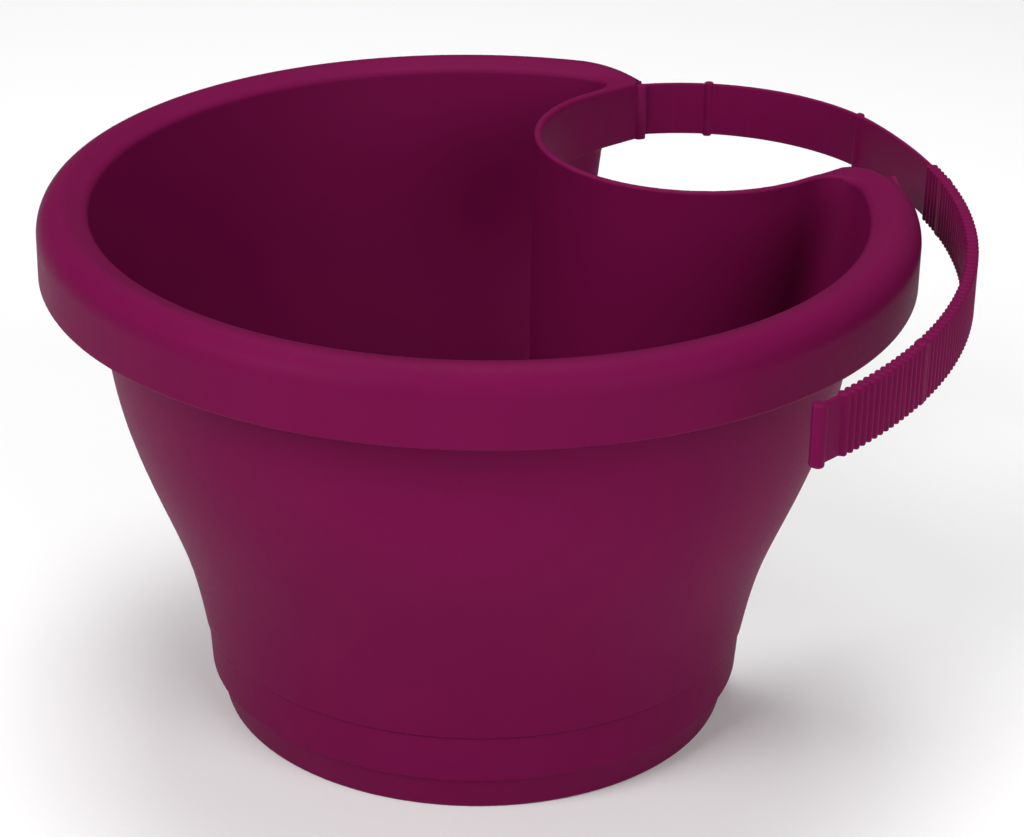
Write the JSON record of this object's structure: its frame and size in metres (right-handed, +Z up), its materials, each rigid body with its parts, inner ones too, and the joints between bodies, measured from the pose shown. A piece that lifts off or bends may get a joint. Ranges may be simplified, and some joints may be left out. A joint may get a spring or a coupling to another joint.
{
  "type": "downpipe planter",
  "caption": "Round plum plastic hanging planter with a pipe channel in its back, a push-on saucer and a toothed strap that closes round a downpipe.",
  "frame": {"origin": "centre of the pot's round body, on the saucer's underside", "axes": "+Z up along the pot and the pipe channel, +Y out through the channel's open side, towards the pipe"},
  "size_m": [0.2717, 0.2546, 0.1523],
  "materials": {
    "pot_plastic": "fine spark-eroded grain, satin",
    "strap_plastic": "fine spark-eroded grain, satin"
  },
  "bodies": {
    "pot": {"pot": "pot_plastic"},
    "saucer": {"saucer": "pot_plastic"},
    "strap_link_01": {"strap_link_01": "strap_plastic"},
    "strap_link_02": {"strap_link_02": "strap_plastic"},
    "strap_link_03": {"strap_link_03": "strap_plastic"},
    "strap_link_04": {"strap_link_04": "strap_plastic"},
    "strap_link_05": {"strap_link_05": "strap_plastic"},
    "strap_link_06": {"strap_link_06": "strap_plastic"},
    "strap_link_07": {"strap_link_07": "strap_plastic"},
    "strap_link_08": {"strap_link_08": "strap_plastic"},
    "strap_link_09": {"strap_link_09": "strap_plastic"},
    "strap_link_10": {"strap_link_10": "strap_plastic"},
    "strap_link_11": {"strap_link_11": "strap_plastic"}
  },
  "joints": [
    {"name": "saucer_pull", "type": "slide", "parent": "pot", "child": "saucer", "axis": [0, 0, -1], "range_m": [0, 0.03]},
    {"name": "strap_root", "type": "hinge", "parent": "pot", "child": "strap_link_01", "pos_m": [-0.0447, 0.0994, 0.141], "axis": [0, 0, 1], "range_deg": [-1, 20], "stiffness_Nm_per_rad": 0.02},
    {"name": "strap_bend_02", "type": "hinge", "parent": "strap_link_01", "child": "strap_link_02", "pos_m": [-0.03256, 0.1164, 0.141], "axis": [0, 0, 1], "range_deg": [-1.14, 21.86]},
    {"name": "strap_bend_03", "type": "hinge", "parent": "strap_link_02", "child": "strap_link_03", "pos_m": [-0.01059, 0.1299, 0.141], "axis": [0, 0, 1], "range_deg": [-1.25, 24.16]},
    {"name": "strap_bend_04", "type": "hinge", "parent": "strap_link_03", "child": "strap_link_04", "pos_m": [0.01505, 0.1327, 0.141], "axis": [0, 0, 1], "range_deg": [-1.07, 20.6]},
    {"name": "strap_bend_05", "type": "hinge", "parent": "strap_link_04", "child": "strap_link_05", "pos_m": [0.04199, 0.12531, 0.141], "axis": [0, 0, 1], "range_deg": [-0.54, 9.84]},
    {"name": "strap_bend_06", "type": "hinge", "parent": "strap_link_05", "child": "strap_link_06", "pos_m": [0.06722, 0.11323, 0.141], "axis": [0, 0, 1], "range_deg": [-0.51, 9.32]},
    {"name": "strap_bend_07", "type": "hinge", "parent": "strap_link_06", "child": "strap_link_07", "pos_m": [0.09045, 0.09679, 0.141], "axis": [0, 0, 1], "range_deg": [-0.52, 9.4]},
    {"name": "strap_bend_08", "type": "hinge", "parent": "strap_link_07", "child": "strap_link_08", "pos_m": [0.11056, 0.07664, 0.141], "axis": [0, 0, 1], "range_deg": [-0.52, 9.48]},
    {"name": "strap_bend_09", "type": "hinge", "parent": "strap_link_08", "child": "strap_link_09", "pos_m": [0.1272, 0.05293, 0.141], "axis": [0, 0, 1], "range_deg": [-0.52, 9.56]},
    {"name": "strap_bend_10", "type": "hinge", "parent": "strap_link_09", "child": "strap_link_10", "pos_m": [0.13949, 0.02671, 0.141], "axis": [0, 0, 1], "range_deg": [-0.48, 8.74]},
    {"name": "strap_bend_11", "type": "hinge", "parent": "strap_link_10", "child": "strap_link_11", "pos_m": [0.1461, 0.00366, 0.141], "axis": [0, 0, 1], "range_deg": [-0.43, 7.68]}
  ],
  "couplings": [
    {"joint": "strap_bend_02", "follows": "strap_root", "ratio": 1.088},
    {"joint": "strap_bend_03", "follows": "strap_root", "ratio": 1.203},
    {"joint": "strap_bend_04", "follows": "strap_root", "ratio": 1.025},
    {"joint": "strap_bend_05", "follows": "strap_root", "ratio": 0.487},
    {"joint": "strap_bend_06", "follows": "strap_root", "ratio": 0.461},
    {"joint": "strap_bend_07", "follows": "strap_root", "ratio": 0.465},
    {"joint": "strap_bend_08", "follows": "strap_root", "ratio": 0.469},
    {"joint": "strap_bend_09", "follows": "strap_root", "ratio": 0.473},
    {"joint": "strap_bend_10", "follows": "strap_root", "ratio": 0.432},
    {"joint": "strap_bend_11", "follows": "strap_root", "ratio": 0.379}
  ]
}
